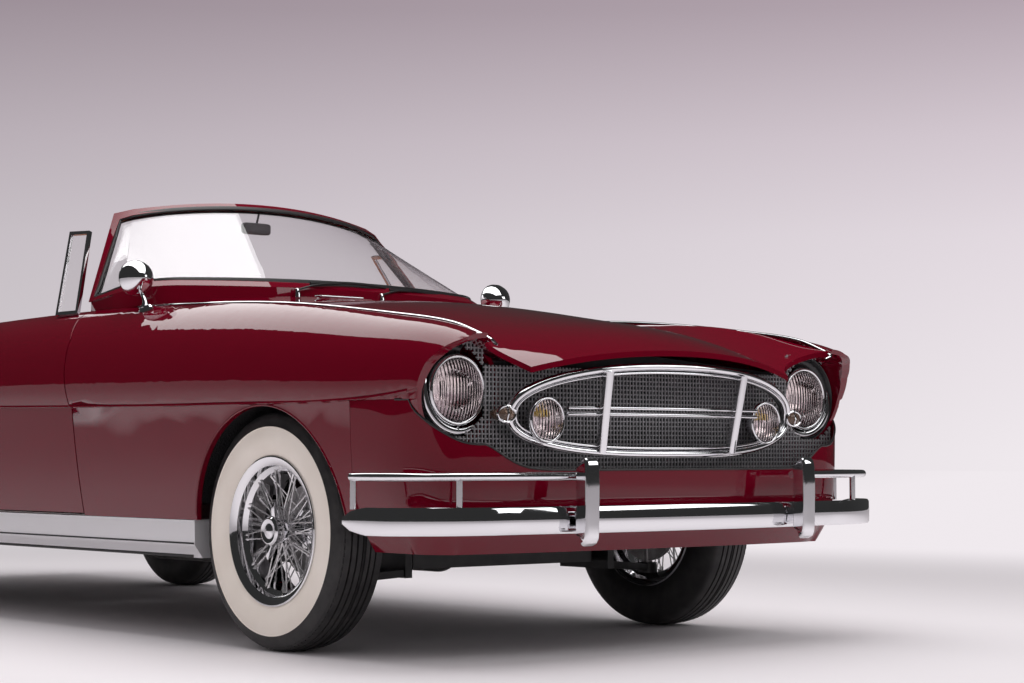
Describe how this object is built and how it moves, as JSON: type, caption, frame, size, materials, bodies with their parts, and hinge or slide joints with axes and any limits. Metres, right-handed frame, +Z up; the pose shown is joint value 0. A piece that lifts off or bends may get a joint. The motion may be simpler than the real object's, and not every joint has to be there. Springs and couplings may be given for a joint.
{
  "type": "1950s two-door convertible car",
  "caption": "Open two-door touring car of the 1950s with a wraparound windshield, wire wheels, oval grille, opening doors, hood and boot lid.",
  "frame": {"origin": "on the ground under the middle of the overall length and width", "axes": "+X forward, +Y to the left of the car, +Z up"},
  "size_m": [5.1515, 1.9752, 1.4691],
  "materials": {
    "red_paint": "deep gloss cherry red",
    "chassis_black": "satin black",
    "chrome": "polished",
    "glass": "clear, faint green",
    "lamp_glass": "fluted lens over silvered bowl",
    "amber_lens": "amber and clear",
    "red_lens": "ribbed",
    "grille_black": "satin black mesh",
    "tyre": "black with a wide cream whitewall",
    "engine_grey": "painted",
    "leather": "soft, piped",
    "canvas": "folded, matt",
    "wheel_wood": "varnished",
    "steel": "plain"
  },
  "bodies": {
    "car_body": {"chassis_frame": "chassis_black", "floor_tub": "red_paint", "boot_floor": "chassis_black", "front_fender_left": "red_paint", "front_fender_right": "red_paint", "rear_fender_left": "red_paint", "rear_fender_right": "red_paint", "cowl": "red_paint", "nose_panel": "red_paint", "rear_deck": "red_paint", "tail_panel": "red_paint", "sill_left": "chrome", "sill_right": "chrome", "windshield_frame": "red_paint", "windshield_glass": "glass", "grille_mesh": "grille_black", "grille_surround": "chrome", "headlamps": "lamp_glass", "fog_lamps": "lamp_glass", "parking_lamps": "amber_lens", "front_bumper": "chrome", "bumper_guards": "chrome", "rear_bumper": "chrome", "tail_lamps": "red_lens", "dashboard": "red_paint", "steering_column": "chrome", "front_seats": "leather", "rear_seat": "leather", "folded_top": "canvas", "engine": "engine_grey", "front_suspension": "chassis_black", "rear_axle": "chassis_black", "rear_springs": "steel", "drive_shaft": "steel", "exhaust": "steel", "fuel_tank": "chassis_black", "fender_mirrors": "chrome", "wheel_houses": "chassis_black"},
    "hood": {"hood": "red_paint"},
    "boot_lid": {"boot_lid": "red_paint"},
    "steering_wheel": {"steering_wheel": "wheel_wood"},
    "door_left": {"door_left": "red_paint", "vent_frame_left": "chrome", "vent_glass_left": "glass"},
    "knuckle_left": {"knuckle_left": "steel"},
    "front_wheel_left": {"front_wheel_left": "chrome", "front_tyre_left": "tyre"},
    "rear_wheel_left": {"rear_wheel_left": "chrome", "rear_tyre_left": "tyre"},
    "door_right": {"door_right": "red_paint", "vent_frame_right": "chrome", "vent_glass_right": "glass"},
    "knuckle_right": {"knuckle_right": "steel"},
    "front_wheel_right": {"front_wheel_right": "chrome", "front_tyre_right": "tyre"},
    "rear_wheel_right": {"rear_wheel_right": "chrome", "rear_tyre_right": "tyre"}
  },
  "joints": [
    {"name": "hood_hinge", "type": "hinge", "parent": "car_body", "child": "hood", "pos_m": [0.89, 0, 1.05], "axis": [0, -1, 0], "range_deg": [0, 40]},
    {"name": "boot_lid_hinge", "type": "hinge", "parent": "car_body", "child": "boot_lid", "pos_m": [-1.226, 0, 1.002], "axis": [0, 1, 0], "range_deg": [0, 50]},
    {"name": "door_hinge_left", "type": "hinge", "parent": "car_body", "child": "door_left", "pos_m": [0.628, 0.772, 0.585], "axis": [0, 0, -1], "range_deg": [0, 60]},
    {"name": "door_hinge_right", "type": "hinge", "parent": "car_body", "child": "door_right", "pos_m": [0.628, -0.772, 0.585], "axis": [0, 0, 1], "range_deg": [0, 60]},
    {"name": "kingpin_left", "type": "hinge", "parent": "car_body", "child": "knuckle_left", "pos_m": [1.625, 0.69, 0.348], "axis": [0, 0, 1], "range_deg": [-28, 28]},
    {"name": "kingpin_right", "type": "hinge", "parent": "car_body", "child": "knuckle_right", "pos_m": [1.625, -0.69, 0.348], "axis": [0, 0, 1], "range_deg": [-28, 28]},
    {"name": "steering_wheel_turn", "type": "hinge", "parent": "car_body", "child": "steering_wheel", "pos_m": [0.33, 0.372, 0.985], "axis": [-0.8988, 0, 0.4384], "range_deg": [-448, 448]},
    {"name": "front_wheel_spin_left", "type": "hinge", "parent": "knuckle_left", "child": "front_wheel_left", "pos_m": [1.625, 0.75, 0.348], "axis": [0, 1, 0], "continuous": true},
    {"name": "rear_wheel_spin_left", "type": "hinge", "parent": "car_body", "child": "rear_wheel_left", "pos_m": [-1.325, 0.75, 0.348], "axis": [0, 1, 0], "continuous": true},
    {"name": "front_wheel_spin_right", "type": "hinge", "parent": "knuckle_right", "child": "front_wheel_right", "pos_m": [1.625, -0.75, 0.348], "axis": [0, 1, 0], "continuous": true},
    {"name": "rear_wheel_spin_right", "type": "hinge", "parent": "car_body", "child": "rear_wheel_right", "pos_m": [-1.325, -0.75, 0.348], "axis": [0, 1, 0], "continuous": true}
  ],
  "couplings": [
    {"joint": "kingpin_right", "follows": "kingpin_left", "ratio": 1},
    {"joint": "steering_wheel_turn", "follows": "kingpin_left", "ratio": 16}
  ]
}
